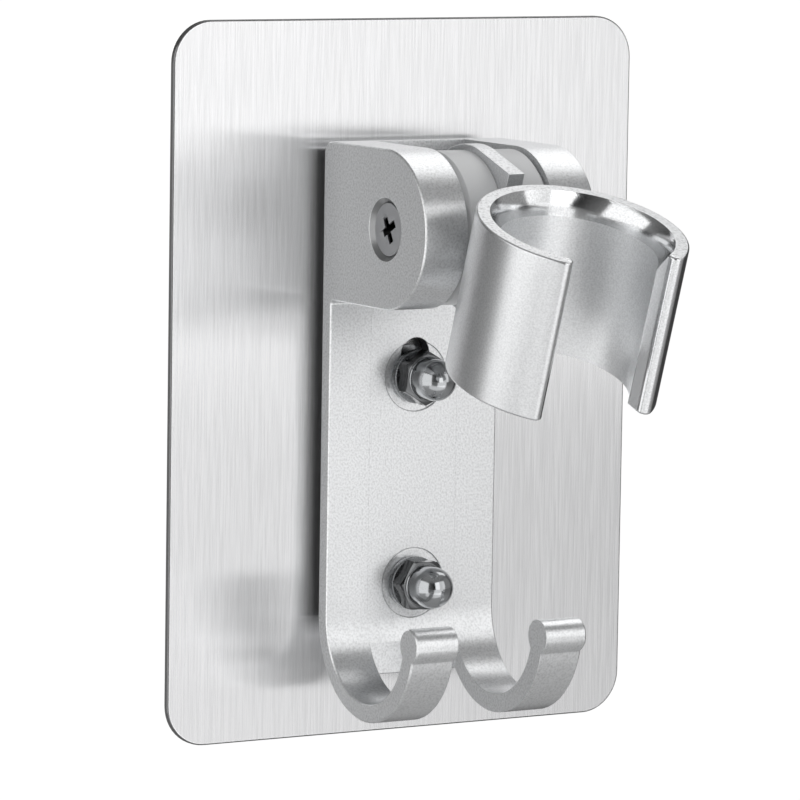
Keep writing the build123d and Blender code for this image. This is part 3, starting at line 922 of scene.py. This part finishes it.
class HOLDER_OT_stage(bpy.types.Operator):
    """Set up the pale floor, the soft boxes, the white surroundings and the camera"""

    bl_idname = "holder.stage"
    bl_label = "Studio"

    def execute(self, context):
        scene = context.scene
        scene.view_settings.view_transform = "Standard"
        self.add_floor(scene)
        self.add_surroundings(scene)
        for name, azimuth, elevation, distance, width, height, level in SOFT_BOXES:
            add_soft_box(name, toward(azimuth, elevation) * distance, width, height, level)
        self.add_camera(scene)
        return {"FINISHED"}

    def add_floor(self, scene):
        """The painted floor, which glows white to the camera and is pale grey in the light."""
        material, tree, shader, coords = start_material("painted_studio_floor")
        tone = scene.holder_colours.floor
        paint = add_node(tree, "TexNoise", {"Vector": coords, "Scale": 6.0, "Detail": 2.0})
        tint = add_node(tree, "Mix", {0: paint, 6: shade(tone, 0.97), 7: tone}, data_type="RGBA")
        # A black cloth lies on the floor behind the object at its right, and gives the metal its dark lines
        away = add_node(tree, "VectorMath", {0: coords}, operation="NORMALIZE")
        right = add_node(tree, "VectorMath", {0: away, 1: toward(125, -10)}, operation="DOT_PRODUCT")
        cloth = add_node(tree, "MapRange", {"Value": right, 1: 0.8, 2: 0.92})
        tint = add_node(tree, "Mix", {0: cloth, 6: tint, 7: BLACK}, data_type="RGBA")
        # The floor fades to the white background, and metal sees that white behind the object
        outside, inside = BACKDROP_EDGE
        path = add_node(tree, "LightPath")
        facing = add_node(tree, "VectorMath", {0: away, 1: BACKDROP}, operation="DOT_PRODUCT")
        behind = add_node(tree, "MapRange", {"Value": facing, 1: outside, 2: inside})
        mirrored = add_node(tree, "Math", {0: mirror_rays(tree, path), 1: behind}, operation="MULTIPLY")
        seen = add_node(tree, "Math", {
            0: path.outputs["Is Camera Ray"], 1: mirrored}, operation="MAXIMUM")
        # Over the cloth the glow is full, so that the camera still sees white there
        full = add_node(tree, "MapRange", {"Value": cloth, 3: 0.85, 4: 1.0})
        glow = add_node(tree, "Math", {0: seen, 1: full}, operation="MULTIPLY")
        fill_inputs(tree, shader, {
            "Base Color": tint, "Roughness": 0.9, "Emission Strength": glow, "Emission Color": WHITE})
        reach, back, level = 9.0, 4.0, -0.42
        skin = bmesh.new()
        bmesh.ops.create_grid(skin, x_segments=8, y_segments=8, size=reach)
        for vert in skin.verts:
            vert.co.y += back
            vert.co.z = level
        mesh = bpy.data.meshes.new("studio_floor")
        skin.to_mesh(mesh)
        skin.free()
        mesh.materials.append(material)
        floor = add_object("studio_floor", mesh)

    def add_surroundings(self, scene):
        """White for the camera, a dim room for metal, and an even light for the rest."""
        world = bpy.data.worlds.new("studio_surroundings")
        world.use_nodes = True
        scene.world = world
        tree = world.node_tree
        path = add_node(tree, "LightPath")
        coords = add_node(tree, "TexCoord").outputs["Generated"]
        split = add_node(tree, "SeparateXYZ", {0: coords})
        # Metal sees a dark room with a grey ceiling, grey walls at both sides and the white backdrop behind
        ceiling = add_node(tree, "MapRange", {
            "Value": split.outputs["Z"], 1: 0.4, 2: 0.75, 3: 0.02, 4: 0.32})
        left = add_node(tree, "MapRange", {"Value": split.outputs["X"], 1: -0.3, 2: -0.8, 4: 0.2})
        walls = add_node(tree, "Math", {0: ceiling, 1: left}, operation="MAXIMUM")
        right_wall = (toward(64, 12), (0.75, 0.92), 0.34)
        for direction, (outside, inside), level in (right_wall, (BACKDROP, BACKDROP_EDGE, 1.0)):
            facing = add_node(tree, "VectorMath", {0: coords, 1: direction}, operation="DOT_PRODUCT")
            patch = add_node(tree, "MapRange", {"Value": facing, 1: outside, 2: inside, 4: level})
            walls = add_node(tree, "Math", {0: walls, 1: patch}, operation="MAXIMUM")
        unseen = add_node(tree, "Mix", {0: mirror_rays(tree, path), 2: 0.4, 3: walls}, data_type="FLOAT")
        level = add_node(tree, "Mix", {
            0: path.outputs["Is Camera Ray"], 2: unseen, 3: 1.0}, data_type="FLOAT")
        fill_inputs(tree, tree.nodes["Background"], {"Strength": level, "Color": WHITE})

    def add_camera(self, scene):
        """The camera that was fitted to the photograph."""
        lens = bpy.data.cameras.new("photo_camera")
        lens.lens = 243.0
        lens.sensor_width = 36.0
        lens.clip_start, lens.clip_end = 0.01, 50.0
        place = Vector((-0.45417, -0.77921, 0.10037))
        right = Vector((0.86454, -0.50234, 0.01534))
        up = Vector((0.04470, 0.10726, 0.99323))
        axes = Matrix((right, up, right.cross(up))).transposed()
        camera = add_object("photo_camera", lens)
        camera.matrix_world = Matrix.Translation(place) @ axes.to_4x4()
        scene.camera = camera


class HOLDER_PT_panel(bpy.types.Panel):
    """Lists the holder's pieces, sizes and colours in the sidebar"""

    bl_idname = "HOLDER_PT_panel"
    bl_label = "Shower Holder"
    bl_space_type = "VIEW_3D"
    bl_region_type = "UI"
    bl_category = "Shower Holder"

    def draw(self, context):
        for piece in PIECES:
            self.layout.operator(piece.bl_idname)
        for group in choices(context):
            column = self.layout.column()
            for name in group.bl_rna.properties.keys():
                if name not in ("rna_type", "name"):
                    column.prop(group, name)


PIECES = (
    HOLDER_OT_back_plate, HOLDER_OT_bracket, HOLDER_OT_stud_washers, HOLDER_OT_cap_nuts,
    HOLDER_OT_pivot_screw, HOLDER_OT_bushes, HOLDER_OT_wall_fixing, HOLDER_OT_cup, HOLDER_OT_stage)
CLASSES = (HolderSizes, HolderColours) + PIECES + (HOLDER_PT_panel,)


def register():
    for cls in CLASSES:
        bpy.utils.register_class(cls)
    bpy.types.Scene.holder_sizes = bpy.props.PointerProperty(type=HolderSizes)
    bpy.types.Scene.holder_colours = bpy.props.PointerProperty(type=HolderColours)


def unregister():
    del bpy.types.Scene.holder_sizes
    del bpy.types.Scene.holder_colours
    for cls in reversed(CLASSES):
        bpy.utils.unregister_class(cls)


def main():
    register()
    bpy.ops.holder.back_plate()
    bpy.ops.holder.bracket()
    bpy.ops.holder.stud_washers()
    bpy.ops.holder.cap_nuts()
    bpy.ops.holder.pivot_screw()
    bpy.ops.holder.bushes()
    bpy.ops.holder.wall_fixing()
    bpy.ops.holder.cup()
    bpy.ops.holder.stage()


if __name__ == "__main__":
    main()
